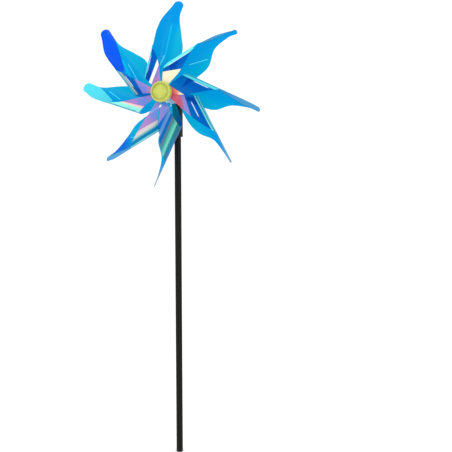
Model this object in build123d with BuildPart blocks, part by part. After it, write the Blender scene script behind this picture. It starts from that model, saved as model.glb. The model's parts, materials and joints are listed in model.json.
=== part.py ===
"""Garden wind spinner: eight curled film vanes on a hub, on a push-in stick.

Frame: +Z up along the stick, origin at the centre of the stick's bottom end,
the wheel faces -Y with its axle tilted up a little at the front. Millimetres.
"""

from build123d import *
from math import cos, radians, sin
import os

os.makedirs("parts", exist_ok=True)

# --- stick -------------------------------------------------------------------
stick_d = 11.0  # outside diameter of the tube
stick_wall = 1.2
plug_flange = 3.0  # end plug's flange under the tube
plug_spigot = 12.0  # end plug's length inside the tube
shoulder_z = 537.0  # where the tube necks down to go into the head socket
neck_d = 10.0  # diameter of the necked end
neck_wall = 1.8
neck_top_z = 583.0

# --- head --------------------------------------------------------------------
axle_z = 600.0  # height of the axle where it crosses the stick's axis
tilt = 6.5  # degrees the front of the axle points up
socket_d = 17.0
socket_top_z = 610.0
socket_gap = 0.08  # running clearance, per side, of the socket on the neck
socket_bottom_z = shoulder_z + 0.3  # clear of the stick's shoulder
socket_roof_z = neck_top_z + 0.7  # top of the bore that takes the neck
boss_r = 5.2  # the axle's boss through the socket
boss_reach = socket_d / 2 + 1.2
axle_d = 3.0
axle_back = -13.0  # ends of the axle pin, measured forward from the stick's axis
axle_front = 78.6
rear_cap_d = 9.0
rear_cap_len = 5.0
bead_d = 9.0
bead_gap = 0.4  # end play between the bead and the spool

# --- hub, distances forward from the stick's axis ----------------------------
spool_back = 18.0
neck_r = 5.5  # the spool's neck behind its flange
root_plane = 24.1  # back of the stack of vane roots
spool_front = 76.5
barrel_d = 8.0
flange_d = 26.0
flange_t = 2.0
bore_gap = 0.08  # running clearance, per side, of the spool on the axle
rear_washer_d = 24.0
front_washer_d = 22.0
washer_t = 1.0
spacer_d = 12.0
cap_d = 32.5
cap_back = 73.4
cap_len = 10.6
cap_wall = 1.6
cap_dish = 0.9  # depth of the shallow dish in the cap's face
cap_rim = 4.2  # width of the raised rim round it
cap_grip_r = barrel_d / 2 + 2.2  # boss inside the cap, which grips the spool
push_nut_d = 8.0
push_nut_t = 1.2
nut_gap = 0.4  # end play between the push nut and the spool
hub_fit = 0.02  # clearance per side of the washers and spacer on the barrel

# --- vanes -------------------------------------------------------------------
film = 0.25  # thickness of the film
level = 0.32  # step from one vane's eyelet to the next in each stack
ruling = 13.0  # the curl's straight lines lean this many degrees from the vane
curl_depth = 46.4  # film height from the root's level to the flap's level
curl_reach = 43.0  # how far the curl's outermost line is from the hub
flat_reach = 15.0  # film stays flat this far from the hub
eyelet_r = 7.5
# The bent sheet each vane is cut from reaches this far out from the hub's centre and
# this far past it.
blank_length = 190
behind_hub = 20

# The vanes are bent by hand, so each lies a little differently. For each: its turn
# clockwise of an even spacing in degrees, where its curl starts and ends along the
# straight lines, its flap's corner, then its leaf's outline as (reach, along) points:
# the edge over the curl, the rounded tip, and the free edge back towards the hub.
vane_shapes = [
    {
        "turn": -1.0, "curl": (18, 72), "corner": (21, 49),
        "over": [(43, 98), (40.8, 119), (31.6, 143.5)], "tip": (24, 150.5),
        "free": [(16.2, 145.5), (17.6, 125), (7.5, 97), (0.5, 75)],
    },
    {
        "turn": 1.0, "curl": (23, 85), "corner": (16, 44),
        "over": [(41.8, 109), (39, 125), (35.5, 138.5)], "tip": (32.3, 143),
        "free": [(28.8, 139.5), (31, 125), (27, 97), (9, 75)],
    },
    {
        "turn": 11.0, "curl": (17, 80), "corner": (11, 34),
        "over": [(43, 112), (43, 130), (42.3, 143)], "tip": (39.4, 146),
        "free": [(35.3, 143), (34.4, 125), (26, 97), (9, 75)],
    },
    {
        "turn": 2.5, "curl": (28, 94), "corner": (23, 56),
        "over": [(43, 112), (43, 128), (43, 140)], "tip": (40.8, 144.5),
        "free": [(37.5, 141), (35.5, 125), (29, 97), (12, 75)],
    },
    {
        "turn": 11.0, "curl": (37, 97), "corner": (16, 47),
        "over": [(43, 112), (43, 126), (43, 138)], "tip": (40.6, 142.8),
        "free": [(37.5, 139), (35, 122), (27, 97), (9, 75)],
    },
    {
        "turn": 1.0, "curl": (38, 95), "corner": (30, 64),
        "over": [(43, 110), (42.2, 128), (37.6, 142)], "tip": (33.7, 147),
        "free": [(29.3, 143.5), (27, 125), (16.5, 97), (7, 75)],
    },
    {
        "turn": 4.0, "curl": (34, 97), "corner": (32, 60),
        "over": [(43, 112), (41.6, 129), (37, 144)], "tip": (28, 152.5),
        "free": [(20.5, 146), (21, 122), (12, 97), (5.5, 75)],
    },
    {
        "turn": -8.0, "curl": (33, 89), "corner": (23, 48),
        "over": [(43, 110), (41.4, 130), (32.8, 155.5)], "tip": (24.8, 163),
        "free": [(16.8, 157), (17.5, 126), (6, 97), (-1, 75)],
    },
]
vane_count = len(vane_shapes)
lowest_vane = 4  # index of the vane whose root is at the back of the stack

tube_bore = stick_d - 2 * stick_wall


def axle_plane(forward):
    """Plane across the axle, its normal pointing forward along it."""
    lean = radians(tilt)
    centre = (0, -forward * cos(lean), axle_z + forward * sin(lean))
    return Plane(origin=centre, x_dir=(1, 0, 0), z_dir=(0, -cos(lean), sin(lean)))


def stack_place(index):
    """Place of a vane's root in its stack, counted from the back."""
    return (index - lowest_vane) % vane_count


def vane_plane(index):
    """Plane of one vane's root: Y along the curl's straight lines, Z forward."""
    angle = radians(360 / vane_count * index + vane_shapes[index]["turn"] + ruling)
    root = axle_plane(root_plane + stack_place(index) * level)
    across = root.x_dir * cos(angle) - root.y_dir * sin(angle)
    return Plane(origin=root.origin, x_dir=across, z_dir=root.z_dir)


def save(part, name):
    part.label = name
    export_step(part, f"parts/{name}.step")


# --- stand: tube and end plug ------------------------------------------------
with BuildPart() as stick_end_plug:
    with BuildSketch():
        Circle(stick_d / 2)
    extrude(amount=plug_flange)
    fillet(stick_end_plug.faces().sort_by(Axis.Z)[0].edges(), 1.2)
    with BuildSketch(Plane.XY.offset(plug_flange)):
        Circle(tube_bore / 2)
        Circle(tube_bore / 2 - 1.5, mode=Mode.SUBTRACT)
    extrude(amount=plug_spigot)

with BuildPart() as stick_tube:
    with BuildSketch(Plane.XZ):
        with BuildLine():
            Polyline(
                (tube_bore / 2, plug_flange),
                (stick_d / 2, plug_flange),
                (stick_d / 2, shoulder_z),
                (neck_d / 2, shoulder_z),
                (neck_d / 2, neck_top_z),
                (neck_d / 2 - neck_wall, neck_top_z),
                (neck_d / 2 - neck_wall, shoulder_z),
                (tube_bore / 2, shoulder_z - 4),
                close=True,
            )
        make_face()
    revolve(axis=Axis.Z)
    top_edges = stick_tube.edges().filter_by(GeomType.CIRCLE).group_by(Axis.Z)[-1]
    fillet(top_edges.sort_by(SortBy.RADIUS)[-1], 0.5)

# --- head: socket, axle and what holds it ------------------------------------
with BuildPart() as head_socket:
    with BuildSketch(Plane.XY.offset(socket_bottom_z)):
        Circle(socket_d / 2)
    extrude(amount=socket_top_z - socket_bottom_z)
    fillet(head_socket.faces().sort_by(Axis.Z)[-1].edges(), 3.0)
    fillet(head_socket.faces().sort_by(Axis.Z)[0].edges(), 0.6)
    with BuildSketch(axle_plane(-boss_reach)):
        Circle(boss_r)
    extrude(amount=2 * boss_reach)
    with BuildSketch(Plane.XY.offset(socket_bottom_z)):
        Circle(neck_d / 2 + socket_gap)
    extrude(amount=socket_roof_z - socket_bottom_z, mode=Mode.SUBTRACT)
    with BuildSketch(axle_plane(-2 * boss_reach)):
        Circle(axle_d / 2)
    extrude(amount=4 * boss_reach, mode=Mode.SUBTRACT)

with BuildPart() as axle_pin:
    with BuildSketch(axle_plane(axle_back)):
        Circle(axle_d / 2)
    extrude(amount=axle_front - axle_back)
    chamfer(axle_pin.edges().filter_by(GeomType.CIRCLE), 0.4)

with BuildPart() as axle_rear_cap:
    with BuildSketch(axle_plane(-boss_reach - rear_cap_len)):
        Circle(rear_cap_d / 2)
    extrude(amount=rear_cap_len)
    fillet(axle_rear_cap.faces().sort_by(Axis.Y)[-1].edges(), 1.8)
    with BuildSketch(axle_plane(axle_back)):
        Circle(axle_d / 2)
    extrude(amount=rear_cap_len, mode=Mode.SUBTRACT)

with BuildPart() as spacer_bead:
    with BuildSketch(axle_plane(boss_reach)):
        Circle(bead_d / 2)
        Circle(axle_d / 2, mode=Mode.SUBTRACT)
    extrude(amount=spool_back - bead_gap - boss_reach)
    fillet(spacer_bead.edges().filter_by(GeomType.CIRCLE).filter_by(lambda e: e.radius > axle_d), 1.5)

with BuildPart() as axle_push_nut:
    with BuildSketch(axle_plane(spool_front + nut_gap)):
        Circle(push_nut_d / 2)
        Circle(axle_d / 2, mode=Mode.SUBTRACT)
    extrude(amount=push_nut_t)

# --- hub: spool, stack spacers, washers and cap ------------------------------
with BuildPart() as hub_spool:
    with BuildSketch(axle_plane(spool_back)):
        Circle(neck_r)
    extrude(amount=root_plane - flange_t - spool_back)
    with BuildSketch(axle_plane(root_plane - flange_t)):
        Circle(flange_d / 2)
    extrude(amount=flange_t)
    with BuildSketch(axle_plane(root_plane)):
        Circle(barrel_d / 2)
    extrude(amount=spool_front - root_plane)
    with BuildSketch(axle_plane(spool_back)):
        Circle(axle_d / 2 + bore_gap)
    extrude(amount=spool_front - spool_back, mode=Mode.SUBTRACT)

roots_front = root_plane + (vane_count - 1) * level + film
flaps_back = root_plane + curl_depth
flaps_front = flaps_back + (vane_count - 1) * level + film


def hub_ring(start, end, outside_d):
    """Ring that slides on the spool's barrel between two distances."""
    with BuildPart() as ring:
        with BuildSketch(axle_plane(start)):
            Circle(outside_d / 2)
            Circle(barrel_d / 2 + hub_fit, mode=Mode.SUBTRACT)
        extrude(amount=end - start)
    return ring.part


rear_clamp_washer = hub_ring(roots_front, roots_front + washer_t, rear_washer_d)
hub_spacer_tube = hub_ring(roots_front + washer_t, flaps_back - 0.04, spacer_d)
front_clamp_washer = hub_ring(flaps_front, flaps_front + washer_t, front_washer_d)

with BuildPart() as front_cap:
    with BuildSketch(axle_plane(cap_back)):
        Circle(cap_d / 2)
    extrude(amount=cap_len)
    fillet(front_cap.faces().sort_by(Axis.Y)[0].edges(), 3.2)
    fillet(front_cap.faces().sort_by(Axis.Y)[-1].edges(), 0.6)
    # shallow dish in the face, inside a rounded rim
    with BuildSketch(axle_plane(cap_back + cap_len)):
        Circle(cap_d / 2 - cap_rim)
    extrude(amount=-cap_dish, mode=Mode.SUBTRACT)
    # hollow behind the face, round the boss that grips the spool's front end
    with BuildSketch(axle_plane(cap_back)):
        Circle(cap_d / 2 - cap_wall)
        Circle(cap_grip_r, mode=Mode.SUBTRACT)
    extrude(amount=cap_len - cap_dish - cap_wall, mode=Mode.SUBTRACT)
    with BuildSketch(axle_plane(cap_back)):
        Circle(cap_grip_r + 0.1)
    extrude(amount=flaps_front + washer_t + 0.1 - cap_back, mode=Mode.SUBTRACT)
    with BuildSketch(axle_plane(cap_back)):
        Circle(barrel_d / 2 + hub_fit)
    extrude(amount=axle_front + 0.6 - cap_back, mode=Mode.SUBTRACT)

# --- vanes -------------------------------------------------------------------
# Outlines are in the vane's plane: the curl is on the -X side.
edge_start = (-5.0, 8)
free_near_hub = (-4.5, 49)  # every leaf's free edge passes here


def outline_point(point):
    """Outline point as the root's plane has it, its curl on the -X side."""
    return (-point[0], point[1])


def film_profile(forward_half, depth):
    """Half of the curl's section: flat at the hub, then a quarter ellipse."""
    rise = depth / 2
    run = curl_reach - flat_reach
    start = 90 if forward_half else 180
    flat_y = depth if forward_half else 0
    inner_y = depth - film if forward_half else film
    with BuildSketch() as profile:
        with BuildLine():
            EllipticalCenterArc((-flat_reach, rise), run, rise, start_angle=start, arc_size=90)
            EllipticalCenterArc(
                (-flat_reach, rise), run - film, rise - film, start_angle=start, arc_size=90
            )
            Line((-curl_reach, rise), (-curl_reach + film, rise))
            Polyline(
                (-flat_reach, flat_y), (eyelet_r + 1, flat_y), (eyelet_r + 1, inner_y), (-flat_reach, inner_y)
            )
        make_face()
    return profile.sketch


def vane_outline(shape, leaf):
    """Closed outline of the leaf or of the flap, with the eyelet round the hub."""
    curl_low, curl_high = shape["curl"]
    curl_top = (-curl_reach, curl_high)
    left = [outline_point(point) for point in shape["over"]]
    right = [outline_point(point) for point in shape["free"]]
    corner = outline_point(shape["corner"])
    with BuildSketch() as outline:
        with BuildLine():
            if leaf:
                Spline(curl_top, *left)
                ThreePointArc(left[-1], outline_point(shape["tip"]), right[0])
                Spline(*right, free_near_hub, edge_start)
            else:
                Spline(curl_top, corner, edge_start)
            Polyline(edge_start, (0, 0), (-curl_reach, curl_low), curl_top)
        make_face()
        Circle(eyelet_r)
        Circle(barrel_d / 2 + hub_fit, mode=Mode.SUBTRACT)
    return outline.sketch


def make_vane(index):
    """One vane: the leaf half of the curl and the flap half, joined at the curl."""
    ground = vane_plane(index)
    depth = curl_depth + (vane_count - 1 - 2 * stack_place(index)) * level + film
    across = Plane(origin=ground.origin, x_dir=ground.x_dir, z_dir=-ground.y_dir)
    halves = []
    for forward_half in (False, True):
        with BuildPart() as half:
            with BuildSketch(ground):
                add(vane_outline(vane_shapes[index], not forward_half))
            extrude(amount=depth)
            with BuildSketch(across.offset(behind_hub)):
                add(film_profile(forward_half, depth))
            extrude(amount=-blank_length - behind_hub, mode=Mode.INTERSECT)
        halves.append(half.part)
    with BuildPart() as vane:
        add(halves)
    return vane.part


for index in range(vane_count):
    save(make_vane(index), f"vane_{index + 1}")

save(stick_tube.part, "stick_tube")
save(stick_end_plug.part, "stick_end_plug")
save(head_socket.part, "head_socket")
save(axle_pin.part, "axle_pin")
save(axle_rear_cap.part, "axle_rear_cap")
save(spacer_bead.part, "spacer_bead")
save(axle_push_nut.part, "axle_push_nut")
save(hub_spool.part, "hub_spool")
save(rear_clamp_washer, "rear_clamp_washer")
save(hub_spacer_tube, "hub_spacer_tube")
save(front_clamp_washer, "front_clamp_washer")
save(front_cap.part, "front_cap")
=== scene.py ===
import json
from math import atan2, cos, pi, radians, sin, sqrt

import bmesh
import bpy
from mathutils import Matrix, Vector


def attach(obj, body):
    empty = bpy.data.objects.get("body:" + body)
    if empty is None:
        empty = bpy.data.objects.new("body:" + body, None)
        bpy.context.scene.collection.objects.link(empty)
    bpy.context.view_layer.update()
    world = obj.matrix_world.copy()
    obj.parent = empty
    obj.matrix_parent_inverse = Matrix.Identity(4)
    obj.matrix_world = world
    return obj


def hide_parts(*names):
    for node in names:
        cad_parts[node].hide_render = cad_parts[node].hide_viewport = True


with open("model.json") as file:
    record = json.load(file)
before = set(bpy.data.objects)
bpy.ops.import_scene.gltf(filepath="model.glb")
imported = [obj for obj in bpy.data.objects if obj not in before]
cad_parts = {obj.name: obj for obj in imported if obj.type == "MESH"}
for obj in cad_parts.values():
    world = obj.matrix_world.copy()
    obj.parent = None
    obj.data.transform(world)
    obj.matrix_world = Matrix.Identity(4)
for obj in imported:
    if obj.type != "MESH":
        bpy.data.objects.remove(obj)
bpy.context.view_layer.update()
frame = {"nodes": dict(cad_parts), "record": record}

MM = 0.001

# --- the wheel's sizes, in millimetres, as in the CAD ------------------------
ROOT_PLANE = 24.1  # the first vane's root, forward from the stick's axis
LEVEL = 0.32  # step from one eyelet to the next
FILM = 0.25
CURL_DEPTH = 46.4  # film height from the root's level to the flap's
CURL_REACH = 43.0  # how far the curl's outermost line is from the hub
FLAT_REACH = 15.0  # film stays flat this far from the hub
EYELET_R = 7.5
BARREL_R = 4.02  # the spool's outside, which the eyelets go round
RULING = 13.0  # the curl's straight lines lean this many degrees from the vane
LOWEST_VANE = 4  # index of the vane whose root is at the back of the stack
EDGE_START = (5.0, 8.0)  # every free edge leaves the eyelet in this direction
FREE_NEAR_HUB = (4.5, 49.0)  # every leaf's free edge passes here

# The vanes are bent by hand, so each lies a little differently. For each: its turn
# clockwise of an even spacing in degrees, where its curl starts and ends along the vane,
# its flap's corner, then its leaf's outline: the edge over the curl, the rounded tip, and
# the free edge back towards the hub. Points are (reach towards the curl, along the vane).
VANE_SHAPES = [
    {
        "turn": -1.0, "curl": (18, 72), "corner": (21, 49),
        "over": [(43, 98), (40.8, 119), (31.6, 143.5)], "tip": (24, 150.5),
        "free": [(16.2, 145.5), (17.6, 125), (7.5, 97), (0.5, 75)],
    },
    {
        "turn": 1.0, "curl": (23, 85), "corner": (16, 44),
        "over": [(41.8, 109), (39, 125), (35.5, 138.5)], "tip": (32.3, 143),
        "free": [(28.8, 139.5), (31, 125), (27, 97), (9, 75)],
    },
    {
        "turn": 11.0, "curl": (17, 80), "corner": (11, 34),
        "over": [(43, 112), (43, 130), (42.3, 143)], "tip": (39.4, 146),
        "free": [(35.3, 143), (34.4, 125), (26, 97), (9, 75)],
    },
    {
        "turn": 2.5, "curl": (28, 94), "corner": (23, 56),
        "over": [(43, 112), (43, 128), (43, 140)], "tip": (40.8, 144.5),
        "free": [(37.5, 141), (35.5, 125), (29, 97), (12, 75)],
    },
    {
        "turn": 11.0, "curl": (37, 97), "corner": (16, 47),
        "over": [(43, 112), (43, 126), (43, 138)], "tip": (40.6, 142.8),
        "free": [(37.5, 139), (35, 122), (27, 97), (9, 75)],
    },
    {
        "turn": 1.0, "curl": (38, 95), "corner": (30, 64),
        "over": [(43, 110), (42.2, 128), (37.6, 142)], "tip": (33.7, 147),
        "free": [(29.3, 143.5), (27, 125), (16.5, 97), (7, 75)],
    },
    {
        "turn": 4.0, "curl": (34, 97), "corner": (32, 60),
        "over": [(43, 112), (41.6, 129), (37, 144)], "tip": (28, 152.5),
        "free": [(20.5, 146), (21, 122), (12, 97), (5.5, 75)],
    },
    {
        "turn": -8.0, "curl": (33, 89), "corner": (23, 48),
        "over": [(43, 110), (41.4, 130), (32.8, 155.5)], "tip": (24.8, 163),
        "free": [(16.8, 157), (17.5, 126), (6, 97), (-1, 75)],
    },
]
VANES = len(VANE_SHAPES)

joints = {joint["name"]: joint for joint in frame["record"]["behaviour"]["joints"]}
AXLE = Vector(joints["wheel_spin"]["axis"])
ACROSS = Vector((1, 0, 0))
UP = AXLE.cross(ACROSS)
spin_point = Vector(joints["wheel_spin"]["pos_m"])
HEAD = spin_point - AXLE * (spin_point.y / AXLE.y)  # where the axle crosses the stick's axis


def srgb(*levels):
    """Linear colour from 0-255 display levels."""
    return tuple(v / 255 / 12.92 if v <= 10 else ((v / 255 + 0.055) / 1.055) ** 2.4 for v in levels)


# --- shader maths ------------------------------------------------------------
# the Mix node's sockets for colours
MIX_LOW = 6
MIX_HIGH = 7
MIX_RESULT = 2


class Value:
    """A socket that carries one number, with arithmetic as Python operators."""

    def __init__(self, shader, socket):
        self.shader = shader
        self.socket = socket

    def maths(self, operation, *inputs):
        return self.shader.node("Math", {"operation": operation}, *inputs).value()

    def __add__(self, other):
        return self.maths("ADD", self, other)

    __radd__ = __add__

    def __sub__(self, other):
        return self.maths("SUBTRACT", self, other)

    def __rsub__(self, other):
        return self.maths("SUBTRACT", other, self)

    def __mul__(self, other):
        return self.maths("MULTIPLY", self, other)

    def __truediv__(self, other):
        return self.maths("DIVIDE", self, other)

    def power(self, exponent):
        return self.maths("POWER", self, exponent)

    def absolute(self):
        return self.maths("ABSOLUTE", self)

    def step(self, low, high):
        """0 below low, 1 above high, smooth between; falls if low is over high."""
        if low > high:
            return 1 - self.step(high, low)
        settings = {"interpolation_type": "SMOOTHSTEP"}
        return self.shader.node("MapRange", settings, self, low, high, 0.0, 1.0).value()

    def line(self, centre, half_width, soft):
        """1 on a line of half_width about centre, fading out over soft beyond it."""
        return (self - centre).absolute().step(half_width + soft, half_width)


class Node:
    """A placed node, which hands out its outputs."""

    def __init__(self, shader, node):
        self.shader = shader
        self.node = node

    def value(self, name=0):
        return Value(self.shader, self.node.outputs[name])

    def out(self, name=0):
        return self.node.outputs[name]


def set_stops(elements, stops):
    """Gives a ramp its stops, each a place from 0 to 1 and a colour with alpha."""
    while len(elements) < len(stops):
        elements.new(1.0)
    for element, (place, colour) in zip(elements, stops):
        element.position = place
        element.color = colour


def colour_and_cover(coat):
    """The two parts of a paint, which is four numbers or already a pair of sockets."""
    return (coat[:3], coat[3]) if len(coat) == 4 else coat


class Shader:
    """One material's node tree."""

    def __init__(self, name, blend=False):
        self.material = bpy.data.materials.new(name)
        self.material.use_nodes = True
        self.tree = self.material.node_tree
        self.tree.nodes.clear()
        self.principled = self.node("BsdfPrincipled")
        self.surface = self.node("OutputMaterial", None, self.principled.out())
        if blend:
            self.material.surface_render_method = "BLENDED"

    def node(self, kind, settings=None, *inputs, **named):
        """Places a node: its settings and a ramp's stops, then its inputs in order or by name."""
        placed = self.tree.nodes.new("ShaderNode" + kind)
        for key, setting in (settings or {}).items():
            if key == "stops":
                set_stops(placed.color_ramp.elements, setting)
            else:
                setattr(placed, key, setting)
        sockets = list(enumerate(inputs))
        sockets += [(key.replace("_", " "), given) for key, given in named.items()]
        for key, given in sockets:
            self.feed(placed.inputs[key], given)
        return Node(self, placed)

    def feed(self, socket, given):
        if isinstance(given, Value):
            given = given.socket
        if isinstance(given, bpy.types.NodeSocket):
            self.tree.links.new(given, socket)
        elif isinstance(given, tuple) and len(given) == 3 and socket.type == "RGBA":
            socket.default_value = (*given, 1)
        else:
            socket.default_value = given

    def set(self, **named):
        """Feeds the Principled shader's own sockets."""
        for key, given in named.items():
            self.feed(self.principled.node.inputs[key.replace("_", " ")], given)

    def attribute(self, name):
        return self.node("Attribute", {"attribute_name": name}).value("Fac")

    def mix(self, share, low, high):
        """Colour low where share is 0, high where it is 1."""
        mixer = self.node("Mix", {"data_type": "RGBA"}, share).node
        self.feed(mixer.inputs[MIX_LOW], low)
        self.feed(mixer.inputs[MIX_HIGH], high)
        return mixer.outputs[MIX_RESULT]

    def share(self, share, low, high):
        """Number low where share is 0, high where it is 1."""
        return share * high + (1 - share) * low

    def ramp(self, value, stops, full):
        """Paint that changes along value; stops are (place out of full, paint)."""
        settings = {"stops": [(place / full, colour) for place, colour in stops]}
        placed = self.node("ValToRGB", settings, value)
        return placed.out("Color"), placed.value("Alpha")

    def layer(self, under, share, over):
        """Paint over covers the paint under by share. A paint is a colour and its cover."""
        low, low_cover = colour_and_cover(under)
        high, high_cover = colour_and_cover(over)
        return self.mix(share, low, high), self.share(share, low_cover, high_cover)

    def tinted(self, tint, cover):
        """Lets light through in the tint where cover leaves the surface open."""
        clear = self.node("BsdfTransparent", None, Color=tint).out()
        mixer = self.node("MixShader", None, cover, clear, self.principled.out()).out()
        self.feed(self.surface.node.inputs["Surface"], mixer)

    def place(self, scale):
        """Object coordinates, stretched by one number or three."""
        size = scale if isinstance(scale, tuple) else (scale, scale, scale)
        here = self.node("TexCoord").out("Object")
        return self.node("VectorMath", {"operation": "MULTIPLY"}, here, size).out()

    def noise(self, at, detail):
        return self.node("TexNoise", None, Vector=at, Scale=1.0, Detail=detail, Roughness=0.5).value("Fac")

    def bump(self, height, strength, distance):
        return self.node("Bump", None, Height=height, Strength=strength, Distance=distance).out("Normal")


# --- materials ---------------------------------------------------------------
FINE = 0.0001  # depth of a grain, in metres


def black_stick():
    """Drawn black tube: dull, with fine draw lines along its length."""
    sh = Shader("black_stick")
    lines = sh.noise(sh.place((900, 900, 3)), 4.0)
    patches = sh.noise(sh.place((30, 30, 6)), 3.0)
    sh.set(Base_Color=sh.mix(lines * 0.6 + patches * 0.3, srgb(8, 8, 8), srgb(24, 22, 20)))
    sh.set(Roughness=0.5 + lines * 0.12 + patches * 0.08, IOR=1.4, Specular_IOR_Level=0.2)
    sh.set(Normal=sh.bump(lines, 0.35, 0.00015))
    return sh.material


def black_plastic():
    """Moulded black head parts, with a faint grain."""
    sh = Shader("black_plastic")
    grain = sh.noise(sh.place(1500), 2.0)
    patches = sh.noise(sh.place(60), 3.0)
    sh.set(Base_Color=sh.mix(patches, srgb(8, 8, 9), srgb(20, 20, 22)))
    sh.set(Roughness=0.4 + patches * 0.15, IOR=1.45, Specular_IOR_Level=0.3)
    sh.set(Normal=sh.bump(grain, 0.2, FINE))
    return sh.material


def drawn_steel():
    """Bright wire and sheet, with fine lines from drawing."""
    sh = Shader("drawn_steel")
    lines = sh.noise(sh.place((2500, 60, 2500)), 3.0)
    sh.set(Base_Color=sh.mix(lines, srgb(150, 150, 152), srgb(205, 205, 208)))
    sh.set(Metallic=1.0, Roughness=0.22 + lines * 0.2)
    sh.set(Normal=sh.bump(lines, 0.15, FINE))
    return sh.material


def hub_plastic():
    """Milky moulded plastic of the spool, washers and bead."""
    sh = Shader("hub_plastic")
    clouds = sh.noise(sh.place(180), 3.0)
    grain = sh.noise(sh.place(2400), 2.0)
    sh.set(Base_Color=sh.mix(clouds, srgb(190, 205, 210), srgb(236, 242, 242)))
    sh.set(Roughness=0.25 + clouds * 0.12, IOR=1.49)
    sh.set(Subsurface_Weight=0.25, Subsurface_Scale=0.002)
    sh.set(Normal=sh.bump(grain, 0.12, FINE))
    return sh.material


CAP_RING_R = 12.6  # the step between the cap's face and its rim, darkened with painted shade
CAP_RIM = (13.6, 15.4)  # the rim's colour comes in between these
LOBE_SIZE = 40.0  # square millimetres


def lime_cap():
    """Yellow-green cap: paler rim, a darker green ring of painted shade at the step inside it, faint
    four-lobed sheen.
    """
    sh = Shader("lime_cap")

    def from_axle(direction):
        """Millimetres from the axle in one direction."""
        return sh.node("VectorMath", {"operation": "DOT_PRODUCT"}, away, direction).value("Value") / MM

    here = sh.node("TexCoord").out("Object")
    away = sh.node("VectorMath", {"operation": "SUBTRACT"}, here, tuple(HEAD)).out()
    right, up = from_axle(tuple(ACROSS)), from_axle(tuple(UP))
    radius = (right * right + up * up).power(0.5)
    clouds = sh.noise(sh.place(120), 3.0)
    lobes = ((right * up).absolute() / LOBE_SIZE).step(0.0, 1.0)
    face = sh.mix(lobes * 0.7 + clouds * 0.3, srgb(184, 190, 78), srgb(166, 174, 60))
    # painted shade: a darker ring at the step between the face and the rim
    face = sh.mix(radius.line(CAP_RING_R, 0.9, 1.4) * 0.5, face, srgb(132, 142, 34))
    sh.set(Base_Color=sh.mix(radius.step(*CAP_RIM), face, srgb(186, 194, 78)))
    sh.set(Roughness=0.32 + clouds * 0.12, IOR=1.49)
    sh.set(Subsurface_Weight=0.2, Subsurface_Scale=0.003)
    sh.set(Normal=sh.bump(sh.noise(sh.place(900), 2.0), 0.1, FINE))
    return sh.material


def paint(red, green, blue, cover):
    """A painted reflection: a colour that the film mirrors, painted on by place, and how much of it covers
    what is behind.
    """
    return (*srgb(red, green, blue), cover)


FILM_TINT = (0.0, 0.42, 0.76)  # what one layer of the film lets through
# the film's paints are painted reflection: the film's colour shift with the light, painted on by place
LEAF = paint(0, 176, 196, 0.45)
LEAF_NEAR_CURL = paint(0, 122, 210, 0.45)
LEAF_TIP = paint(0, 120, 214, 0.55)
# painted shade: a dark line along a leaf's fold
FOLD_SHADE = paint(0, 60, 130, 0.6)
DEEP = paint(0, 70, 170, 0.25)
# painted reflection of the light, as the flaps' flat inner ends mirror it
WHITE = paint(236, 230, 226, 0.97)
CREAM = paint(230, 222, 186, 0.97)
GREY = paint(84, 142, 190, 0.75)
# painted highlight: the colour of the light streaks on the leaves
PALE_HIGHLIGHT = paint(96, 226, 240, 0.9)
PURPLE = paint(164, 134, 202, 0.6)
PINK = paint(206, 132, 190, 0.65)
TURQUOISE = paint(80, 212, 224, 0.95)
ROYAL = paint(0, 76, 226, 0.95)
# painted highlight: the bright line where a curl mirrors a lamp
GLINT = paint(232, 248, 255, 0.9)
CLOUD = paint(110, 150, 222, 0.5)
# painted shade: a thin dark line along the crease that ends a flap's flat inner end
CREASE_SHADE = paint(70, 60, 120, 0.8)

# where the film's colours change and how softly, in millimetres
STAR_REACH = 70.0
AZURE = (12, 34)  # reach over which the leaf turns azure
TIP_FADE = 26
START_FADE = 4
EDGE_FADE = (-0.3, 0.5)
FOLD_LINE = (0.2, 0.35)  # the painted shade line along a fold: half its width, and its softness
GLINT_LINE = (0.3, 0.45)
GLINT_FADE = 6
CREASE_FADE = (0.4, -0.4)
CREASE_WIDTH = (0.1, 0.3)
SLIVER = (-6.5, -5.5)


def beside(across, along, start, end):
    """Distance, towards the curl, from the straight line through start and end."""
    slope = (end[0] - start[0]) / (end[1] - start[1])
    return across - start[0] - (along - start[1]) * slope


def leaf_paint(sh, across, along, wander, look):
    """Painted reflection on the leaf: turquoise on the leaf's free side, azure towards the curl, the tip in
    its own tint.
    """
    leaf = sh.layer(LEAF, (across + wander * 14).step(*AZURE), LEAF_NEAR_CURL)
    tip_from = look["tip_from"]
    leaf = sh.layer(leaf, (along + wander * 20).step(tip_from, tip_from + TIP_FADE), look["tip"])
    if look["edge"]:
        start, end, colour = look["edge"]
        side = beside(across, along, start, end)
        from_start = along.step(start[1] - START_FADE, start[1] + START_FADE)
        leaf = sh.layer(leaf, side.step(*EDGE_FADE) * from_start, colour)
        # painted shade: a dark line along the fold
        leaf = sh.layer(leaf, side.line(0, *FOLD_LINE) * from_start, FOLD_SHADE)
    # painted highlights: light streaks along the leaf
    for start, end, width, colour in look["streaks"]:
        middle, reach = (start[1] + end[1]) / 2, abs(start[1] - end[1]) / 2
        streak = beside(across, along, start, end).line(0, width, width)
        leaf = sh.layer(leaf, streak * along.line(middle, reach * 0.8, reach * 0.3), colour)
    return leaf


def band_paint(sh, across, along, wander, look):
    """The flap's outer part: painted reflection in bands along the curl, and one painted highlight line."""
    band = sh.ramp((across + wander * 3) / CURL_REACH, look["flap"], CURL_REACH)
    reach, middle, half_length = look["glint"]
    # a painted highlight along the curl
    glint = across.line(reach, *GLINT_LINE) * along.line(middle, half_length, GLINT_FADE)
    return sh.layer(band, glint, GLINT)


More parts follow.
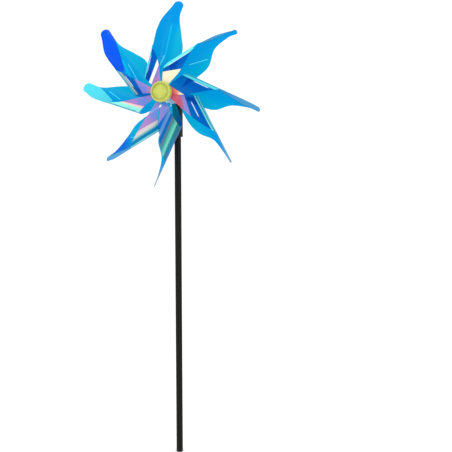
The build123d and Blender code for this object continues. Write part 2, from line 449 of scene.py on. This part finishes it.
def star_paint(sh, across, along, wander, past_crease, look):
    """The flat inner end of the flap, with the light it mirrors painted on: a painted reflection."""
    outward = (across * across + along * along).power(0.5) / STAR_REACH
    star = sh.ramp(outward + wander * 0.2, look["star"], STAR_REACH)
    if look["clouds"]:
        at = sh.node("CombineXYZ", None, across * 0.06, along * 0.06, 7.0).out()
        star = sh.layer(star, sh.noise(at, 2.0).step(0.42, 0.7) * 0.7, CLOUD)
    if look["sliver"]:
        star = sh.layer(star, past_crease.step(*SLIVER), look["sliver"])
    return star


def film(name, shape, look):
    """Iridescent film: it tints what is behind it, and the light it mirrors is painted on by place, as
    painted reflection, painted highlights and painted shade lines.
    """
    sh = Shader(name, blend=True)
    curl, across, along = sh.attribute("curl"), sh.attribute("across"), sh.attribute("along")
    # a slow drift along the film, from -0.5 to 0.5, that keeps its colours from lying straight
    drift = sh.node("CombineXYZ", None, across * 0.05, along * 0.008, curl).out()
    wander = sh.noise(drift, 2.0) - 0.5

    corner_reach, corner_along = shape["corner"]
    past_crease = across - (corner_reach + (corner_along - along) * look["crease"])
    star = star_paint(sh, across, along, wander, past_crease, look)
    flap = sh.layer(band_paint(sh, across, along, wander, look), past_crease.step(*CREASE_FADE), star)
    # painted shade: a thin dark line along the crease
    flap = sh.layer(flap, past_crease.line(0.3, *CREASE_WIDTH) * 0.6, CREASE_SHADE)
    leaf = leaf_paint(sh, across, along, wander, look)

    colour, cover = sh.layer(leaf, curl.step(0.495, 0.505), flap)
    sh.set(Base_Color=colour, IOR=1.5, Specular_IOR_Level=0.08)
    sh.set(Roughness=0.1 + (wander + 0.5) * 0.1)
    sh.set(Normal=sh.bump(wander, 0.3, 0.002))
    sh.tinted(FILM_TINT, cover)
    return sh.material


def strip_bands(strip, start):
    """Painted reflection across a flap: dark band, then a pale strip from start, in thin dark outlines."""
    inner, outline = paint(0, 100, 200, 0.2), paint(0, 76, 128, 0.7)
    return [
        (12, inner), (28, DEEP), (start - 1, DEEP), (start - 0.4, outline),
        (start + 0.3, strip), (41.4, strip), (42.2, outline), (43.0, strip),
    ]


def look(star, crease, flap, glint, **others):
    """
    One vane's colours. All places are in millimetres, reach towards the curl and along the vane.
    star: stops of painted reflection by distance from the hub, over the flat inner end of the flap
    crease: slope of the line that ends the star, through the flap's corner
    flap: stops of paint by reach, over the rest of the flap
    glint: a painted highlight line's reach, its middle and half its length along the flap
    tip, tip_from: paint towards the leaf's tip, and where it starts along the vane
    edge: a line's start and end, with the paint on its curl side
    streaks: painted highlight lines on the leaf, each a start, an end, half a width and a paint
    sliver: painted reflection on a strip of the star along its crease
    clouds: whether the star has blue clouds
    """
    plain = {"tip": LEAF_TIP, "tip_from": 100, "edge": None, "streaks": (), "sliver": None, "clouds": True}
    return {"star": star, "crease": crease, "flap": flap, "glint": glint, **plain, **others}


LOOKS = [
    look(
        star=[(20, PINK), (50, PURPLE)], crease=0.16, sliver=WHITE,
        flap=strip_bands(paint(110, 244, 236, 0.85), 37.6), glint=(35.4, 40, 11),
        streaks=[
            ((26.5, 48), (27.5, 113), 0.9, paint(20, 176, 226, 0.6)),
            ((28, 62), (31, 44), 0.8, PALE_HIGHLIGHT),
        ],
    ),
    look(
        star=[(20, CREAM), (50, CREAM)], crease=0.45, clouds=False,
        flap=strip_bands(paint(112, 246, 236, 0.9), 34.6), glint=(33.6, 48, 18),
        edge=((41.3, 89), (36.3, 129), GREY),
        streaks=[((28.3, 49), (20.1, 80.2), 0.5, PALE_HIGHLIGHT)],
    ),
    look(
        star=[
            (16, paint(226, 108, 80, 0.85)), (24, paint(232, 120, 84, 0.85)),
            (30, paint(236, 214, 190, 0.9)),
        ],
        crease=0.12, clouds=False,
        flap=strip_bands(paint(90, 224, 220, 0.8), 38.0), glint=(36.1, 50, 10),
        edge=((40.8, 71), (34, 122), GREY),
    ),
    look(
        star=[
            (18, paint(214, 72, 78, 0.8)), (34, paint(196, 92, 110, 0.75)),
            (50, paint(150, 120, 180, 0.6)),
        ],
        crease=0.15, clouds=False, sliver=paint(150, 134, 196, 0.7),
        flap=strip_bands(paint(116, 226, 210, 0.8), 40.0), glint=(32.7, 48, 10),
        edge=((41.1, 92), (36, 118), GREY),
    ),
    look(
        star=[(18, paint(40, 70, 200, 0.6)), (24, PURPLE), (48, PURPLE)], crease=0.22,
        flap=[
            (10, PURPLE), (15, paint(120, 110, 200, 0.6)), (17, paint(0, 96, 190, 0.5)),
            (20, paint(0, 110, 200, 0.4)), (22, paint(96, 136, 190, 0.7)),
            (25, paint(110, 150, 190, 0.7)), (26.5, paint(0, 90, 170, 0.6)),
            (30, paint(0, 100, 170, 0.6)), (31.5, paint(110, 110, 120, 0.7)),
            (34.5, paint(60, 130, 116, 0.85)), (36.5, paint(76, 178, 150, 0.85)),
            (39.5, paint(116, 214, 180, 0.85)), (40.6, paint(40, 130, 130, 0.8)),
            (43, paint(30, 130, 140, 0.7)),
        ],
        glint=(24.0, 70, 6), tip=paint(108, 146, 160, 0.8),
    ),
    look(
        star=[(20, PURPLE), (60, PINK)], crease=0.05,
        flap=[
            (28, PURPLE), (31.6, paint(222, 190, 196, 0.85)), (36, paint(226, 214, 198, 0.85)),
            (38.6, paint(110, 190, 180, 0.75)), (40, paint(0, 136, 160, 0.6)),
            (42, paint(20, 150, 160, 0.6)), (43, paint(140, 240, 220, 0.85)),
        ],
        glint=(33.5, 84, 0.5), tip=paint(0, 84, 206, 0.85), tip_from=84,
        edge=((37.6, 95), (31.3, 128), GREY),
        streaks=[((25.7, 83), (21, 95), 0.4, PALE_HIGHLIGHT)],
    ),
    look(
        star=[(20, PURPLE), (60, PINK)], crease=-0.08,
        flap=[
            (24, paint(234, 164, 204, 0.8)), (31, paint(246, 176, 194, 0.9)),
            (34.4, paint(230, 214, 200, 0.9)), (36, paint(150, 246, 216, 0.9)),
            (40.6, paint(150, 250, 226, 0.9)), (41.3, paint(0, 90, 130, 0.7)),
            (42, paint(96, 206, 210, 0.85)), (43, paint(96, 206, 210, 0.85)),
        ],
        glint=(40.6, 30, 5), tip=TURQUOISE, tip_from=120,
        edge=((35.5, 94), (21, 126), TURQUOISE),
        streaks=[((31, 82), (23.4, 108), 0.4, PALE_HIGHLIGHT)],
    ),
    look(
        star=[(20, PINK), (50, PURPLE)], crease=0.14,
        flap=[
            (20, paint(0, 100, 190, 0.3)), (31, paint(0, 76, 160, 0.4)),
            (34.6, paint(40, 110, 150, 0.6)), (35.6, paint(182, 184, 168, 0.9)),
            (37.8, paint(170, 180, 168, 0.9)), (38.4, paint(0, 70, 110, 0.85)),
            (39.6, paint(84, 204, 200, 0.85)), (43, paint(60, 190, 196, 0.8)),
        ],
        glint=(33.0, 52, 8), tip=ROYAL, tip_from=128,
        edge=((35.7, 83), (17.5, 140), ROYAL),
        streaks=[
            ((36, 63), (28.3, 102), 1.1, paint(0, 180, 226, 0.7)),
            ((30.3, 46), (25.2, 92), 0.35, PALE_HIGHLIGHT),
        ],
    ),
]


# --- outlines, all in (reach towards the curl, along the vane) ----------------
def smooth_curve(points, count):
    """Points along a smooth curve through the given ones, evenly in chord length."""
    before = tuple(2 * a - b for a, b in zip(points[0], points[1]))
    after = tuple(2 * a - b for a, b in zip(points[-1], points[-2]))
    knots = [before, *points, after]
    chords = [sqrt((b[0] - a[0]) ** 2 + (b[1] - a[1]) ** 2) for a, b in zip(points[:-1], points[1:])]
    total = sum(chords)
    result = []
    for step in range(count + 1):
        way = total * step / count
        span = 0
        while span < len(chords) - 1 and way > chords[span]:
            way -= chords[span]
            span += 1
        f = min(1.0, way / chords[span])
        p = knots[span:span + 4]
        result.append(tuple(
            0.5 * (2 * p[1][i] + (p[2][i] - p[0][i]) * f
                   + (2 * p[0][i] - 5 * p[1][i] + 4 * p[2][i] - p[3][i]) * f * f
                   + (3 * p[1][i] - p[0][i] - 3 * p[2][i] + p[3][i]) * f ** 3)
            for i in (0, 1)
        ))
    return result


def straight(start, end, count):
    """Points along a straight line."""
    return [tuple(a + (b - a) * step / count for a, b in zip(start, end)) for step in range(count + 1)]


def arc_to(start, middle, end, count):
    """Points from start to middle on the circle through all three, without start."""
    (ax, ay), (bx, by), (cx, cy) = start, middle, end
    d = 2 * (ax * (by - cy) + bx * (cy - ay) + cx * (ay - by))
    sa, sb, sc = ax * ax + ay * ay, bx * bx + by * by, cx * cx + cy * cy
    ox = (sa * (by - cy) + sb * (cy - ay) + sc * (ay - by)) / d
    oy = (sa * (cx - bx) + sb * (ax - cx) + sc * (bx - ax)) / d
    size = sqrt((ax - ox) ** 2 + (ay - oy) ** 2)
    first, last = atan2(ay - oy, ax - ox), atan2(by - oy, bx - ox)
    turn = (last - first + pi) % (2 * pi) - pi
    angles = [first + turn * step / count for step in range(1, count + 1)]
    return [(ox + size * cos(a), oy + size * sin(a)) for a in angles]


def on_eyelet(point):
    """The point on the eyelet's outside in the same direction from the hub."""
    size = sqrt(point[0] ** 2 + point[1] ** 2)
    return tuple(v * EYELET_R / size for v in point)


# how many rows of faces each stretch of a vane has, and how many faces are in a row
LOW_ROWS = 12
CURL_ROWS = 26
TIP_ROWS = 30
ROUND_ROWS = 7
COLUMNS = 28
RING_STEPS = 40  # round the rest of each eyelet


def vane_edges(shape):
    """The free edge and the curl's edge of the leaf, then of the flap."""
    bottom = (CURL_REACH, shape["curl"][0])
    top = (CURL_REACH, shape["curl"][1])
    over, free, tip = shape["over"], shape["free"], shape["tip"]
    hub_end = on_eyelet(EDGE_START)
    curl = straight(on_eyelet(bottom), bottom, LOW_ROWS) + straight(bottom, top, CURL_ROWS)[1:]
    leaf_curl = curl + [(min(x, CURL_REACH), y) for x, y in smooth_curve([top] + over, TIP_ROWS)[1:]]
    leaf_curl += arc_to(over[-1], tip, free[0], ROUND_ROWS)
    leaf_free = smooth_curve([hub_end, FREE_NEAR_HUB] + free[::-1], LOW_ROWS + CURL_ROWS + TIP_ROWS)
    leaf_free += arc_to(free[0], tip, over[-1], ROUND_ROWS)
    flap_free = smooth_curve([hub_end, shape["corner"], top], LOW_ROWS + CURL_ROWS)
    return (leaf_free, leaf_curl), (flap_free, curl)


# --- the bent film -------------------------------------------------------------
def film_height(reach, depth, flap):
    """Height of the film over its root: a half ellipse beyond the flat part."""
    share = max(0.0, min(1.0, (reach - FLAT_REACH) / (CURL_REACH - FLAT_REACH)))
    rise = depth / 2 * (1 - sqrt(max(0.0, 1 - share * share)))
    return depth - rise if flap else rise


ARC_STEPS = 400
HALVINGS = 30


def arc_table():
    """Distance along the film from the hub for evenly spaced reaches."""
    table = [0.0]
    for step in range(ARC_STEPS):
        a = CURL_REACH * step / ARC_STEPS
        b = CURL_REACH * (step + 1) / ARC_STEPS
        rise = film_height(b, CURL_DEPTH, False) - film_height(a, CURL_DEPTH, False)
        table.append(table[-1] + sqrt((b - a) ** 2 + rise ** 2))
    return table


ARC = arc_table()


def arc_at(reach):
    """Distance along the film at a reach; on the free side the film is flat."""
    if reach < 0:
        return reach
    place = reach / CURL_REACH * ARC_STEPS
    index = min(ARC_STEPS - 1, int(place))
    return ARC[index] + (ARC[index + 1] - ARC[index]) * (place - index)


def reach_at(arc):
    """The reach at a distance along the film."""
    if arc <= 0:
        return arc
    low, high = 0.0, CURL_REACH
    for _ in range(HALVINGS):
        middle = (low + high) / 2
        if arc_at(middle) < arc:
            low = middle
        else:
            high = middle
    return (low + high) / 2


def sheet_rows(free_edge, curl_edge):
    """Rows of points from the free edge to the curl's edge, evenly along the film."""
    rows = []
    for start, end in zip(free_edge, curl_edge):
        a, b = arc_at(start[0]), arc_at(end[0])
        row = []
        for column in range(COLUMNS + 1):
            f = column / COLUMNS
            reach = reach_at(a + (b - a) * f)
            along = start[1] + (end[1] - start[1]) * f
            if sqrt(reach * reach + along * along) < EYELET_R:
                reach, along = on_eyelet((reach, along))
            row.append((reach, along))
        rows.append(row)
    return rows


def mesh_data(name, mesh):
    """The finished mesh as data for an object."""
    data = bpy.data.meshes.new(name)
    mesh.to_mesh(data)
    mesh.free()
    return data


def add_object(name, data):
    """Puts new data in the scene as an object."""
    added = bpy.data.objects.new(name, data)
    bpy.context.scene.collection.objects.link(added)
    return added


# in metres: points this close are joined, as on the curl's edge, and edges this short go
JOIN_WITHIN = 0.00004
NO_SHORTER = 0.00001


class VaneMesh:
    """The mesh of one vane. Its points are told by reach, along, and whether on the flap."""

    def __init__(self, index):
        place = (index - LOWEST_VANE) % VANES
        angle = radians(360 / VANES * index + VANE_SHAPES[index]["turn"] + RULING)
        self.depth = CURL_DEPTH + (VANES - 1 - 2 * place) * LEVEL
        self.side = ACROSS * cos(angle) - UP * sin(angle)
        self.outward = ACROSS * sin(angle) + UP * cos(angle)
        self.root = HEAD + AXLE * (ROOT_PLANE + place * LEVEL) * MM
        self.mesh = bmesh.new()
        self.curl = self.mesh.verts.layers.float.new("curl")
        self.across = self.mesh.verts.layers.float.new("across")
        self.along = self.mesh.verts.layers.float.new("along")

    def vertex(self, reach, along, flap):
        """A point in the middle of the film's thickness, with what its paint needs."""
        height = film_height(reach, self.depth, flap) + FILM / 2
        offset = AXLE * height - self.side * reach + self.outward * along
        vert = self.mesh.verts.new(self.root + offset * MM)
        share = 0.5 * arc_at(max(0.0, reach)) / ARC[-1]
        vert[self.curl] = 1 - share if flap else share
        vert[self.across] = reach
        vert[self.along] = along
        return vert

    def face(self, corners, flap):
        """A face, wound the other way on the leaf so that the curled sheet keeps one outer side."""
        self.mesh.faces.new(corners if flap else corners[::-1])

    def sheet(self, rows, flap):
        """The leaf or the flap, from its outlines' rows. Returns the row at the hub."""
        grid = [[self.vertex(reach, along, flap) for reach, along in row] for row in rows]
        for low, high in zip(grid[:-1], grid[1:]):
            for column in range(COLUMNS):
                self.face([low[column], low[column + 1], high[column + 1], high[column]], flap)
        return grid[0]

    def eyelet(self, hub_row, flap):
        """The ring round the hub, which takes in the sheet's row there."""
        start, end = (atan2(vert[self.along], vert[self.across]) for vert in (hub_row[0], hub_row[-1]))
        outer = list(hub_row)
        for step in range(1, RING_STEPS):
            a = end + (start - 2 * pi - end) * step / RING_STEPS
            outer.append(self.vertex(EYELET_R * cos(a), EYELET_R * sin(a), flap))
        inner = []
        for vert in outer:
            reach, along = vert[self.across], vert[self.along]
            size = sqrt(reach * reach + along * along)
            inner.append(self.vertex(reach * BARREL_R / size, along * BARREL_R / size, flap))
        for step in range(len(outer)):
            after = (step + 1) % len(outer)
            self.face([outer[step], inner[step], inner[after], outer[after]], flap)

    def finished(self, name):
        bmesh.ops.remove_doubles(self.mesh, verts=self.mesh.verts, dist=JOIN_WITHIN)
        bmesh.ops.dissolve_degenerate(self.mesh, edges=self.mesh.edges, dist=NO_SHORTER)
        data = mesh_data(name, self.mesh)
        data.shade_smooth()
        return data


def make_vane(index):
    """One curled vane as a fine sheet: leaf, curl and flap, with both eyelets."""
    shape = VANE_SHAPES[index]
    mesh = VaneMesh(index)
    for flap, edges in zip((False, True), vane_edges(shape)):
        mesh.eyelet(mesh.sheet(sheet_rows(*edges), flap), flap)
    name = f"film_vane_{index + 1}"
    vane = add_object(name, mesh.finished(name))
    vane.data.materials.append(film(f"film_{index + 1}", shape, LOOKS[index]))
    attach(vane, "wheel")
    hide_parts(f"vane_{index + 1}")


for index in range(VANES):
    make_vane(index)


# --- materials on the CAD pieces ---------------------------------------------
def dress(material, *nodes):
    """Gives CAD nodes their material."""
    for name in nodes:
        piece = frame["nodes"][name]
        piece.data.materials.clear()
        piece.data.materials.append(material)


dress(black_stick(), "stick_tube")
dress(black_plastic(), "stick_end_plug", "head_socket", "axle_rear_cap")
dress(drawn_steel(), "axle_pin", "axle_push_nut")
dress(hub_plastic(), "hub_spool", "rear_clamp_washer", "hub_spacer_tube", "front_clamp_washer", "spacer_bead")
dress(lime_cap(), "front_cap")


# --- floor, light and camera -------------------------------------------------
FLOOR_HALF = 4.0
LIT_POINT = (0, 0, 0.5)
WORLD_STRENGTH = 1.08
VIEW_AZIMUTH = 16.04  # degrees the camera stands to the spinner's left-hand side
VIEW_PITCH = 6.91  # degrees it looks down
VIEW_DISTANCE = 1.4844
VIEW_HEIGHT = 0.5682
VIEW_SIDEWAYS = 0.0795
VIEW_LENS = 70.94
SENSOR_WIDTH = 36.0
FARTHEST = 50.0


def make_floor():
    mesh = bmesh.new()
    corners = ((-1, -1), (1, -1), (1, 1), (-1, 1))
    mesh.faces.new([mesh.verts.new((x * FLOOR_HALF, y * FLOOR_HALF, 0)) for x, y in corners])
    floor = add_object("floor", mesh_data("floor", mesh))
    sh = Shader("floor")
    sh.set(Base_Color=srgb(255, 255, 255), Roughness=1.0)
    floor.data.materials.append(sh.material)


def area_light(name, place, size, power):
    """A lamp of size (width, height) at place, turned to the lit point."""
    lamp = bpy.data.lights.new(name, "AREA")
    lamp.shape = "RECTANGLE"
    lamp.size, lamp.size_y = size
    lamp.energy = power
    light = add_object(name, lamp)
    light.location = place
    light.rotation_euler = (Vector(LIT_POINT) - Vector(place)).to_track_quat("-Z", "Y").to_euler()


def make_world():
    world = bpy.data.worlds.new("studio")
    world.use_nodes = True
    background = world.node_tree.nodes["Background"]
    background.inputs["Color"].default_value = (1, 1, 1, 1)
    background.inputs["Strength"].default_value = WORLD_STRENGTH
    bpy.context.scene.world = world


def make_camera():
    azimuth, pitch = radians(VIEW_AZIMUTH), radians(VIEW_PITCH)
    outward = Vector((sin(azimuth), -cos(azimuth), 0))
    rightward = Vector((cos(azimuth), sin(azimuth), 0))
    place = outward * VIEW_DISTANCE * cos(pitch) + rightward * VIEW_SIDEWAYS + Vector((0, 0, VIEW_HEIGHT))
    looking = -outward * cos(pitch) - Vector((0, 0, sin(pitch)))
    lens = bpy.data.cameras.new("camera")
    lens.sensor_width = SENSOR_WIDTH
    lens.lens = VIEW_LENS
    lens.clip_end = FARTHEST
    camera = add_object("camera", lens)
    camera.location = place
    camera.rotation_euler = looking.to_track_quat("-Z", "Y").to_euler()
    bpy.context.scene.camera = camera


make_floor()
make_world()
area_light("key", (-0.8, -1.8, 1.7), (0.9, 0.9), 9)
area_light("strip", (1.3, -1.2, 1.0), (0.15, 1.2), 4)
make_camera()
bpy.context.scene.view_settings.view_transform = "Standard"
